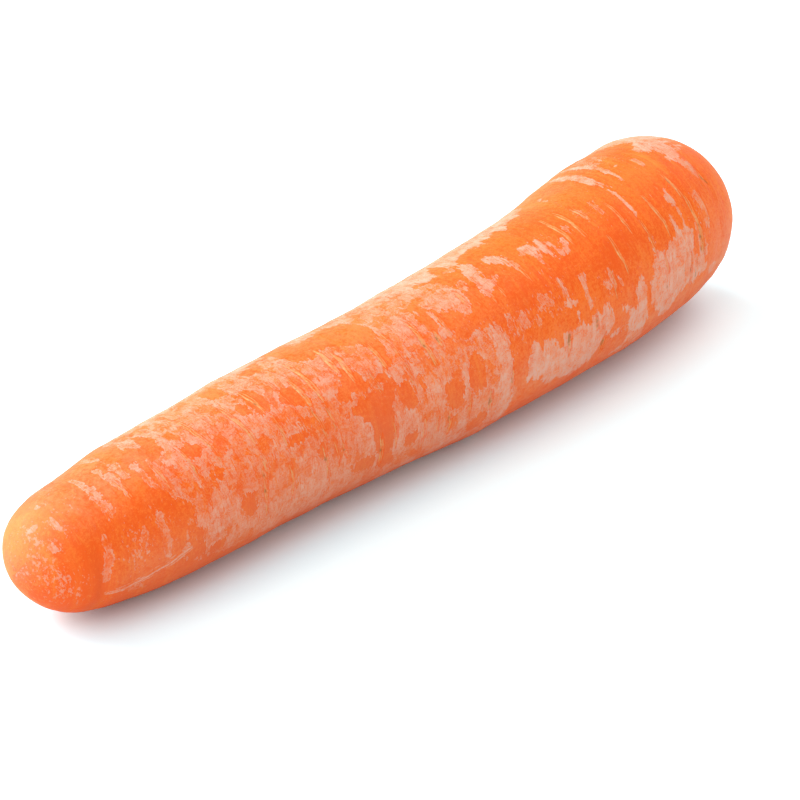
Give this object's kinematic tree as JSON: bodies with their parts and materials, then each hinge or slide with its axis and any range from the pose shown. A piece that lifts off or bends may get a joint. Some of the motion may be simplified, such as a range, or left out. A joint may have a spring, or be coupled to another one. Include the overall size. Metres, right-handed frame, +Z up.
{
  "type": "carrot",
  "caption": "Washed orange carrot without its leaves, a long blunt root with a slight bend, lying on its side.",
  "frame": {"origin": "centre of the bounding box's bottom face, on the table that the carrot lies on", "axes": "+X from the root tip to the crown, along the carrot; +Y across it; +Z up from the table"},
  "size_m": [0.1988, 0.0424, 0.0388],
  "materials": {
    "carrot_skin": "damp orange root skin, matt where the thin pale film remains, with fine lengthwise and ring marks"
  },
  "bodies": {
    "root": {"carrot_root": "carrot_skin"}
  },
  "joints": []
}
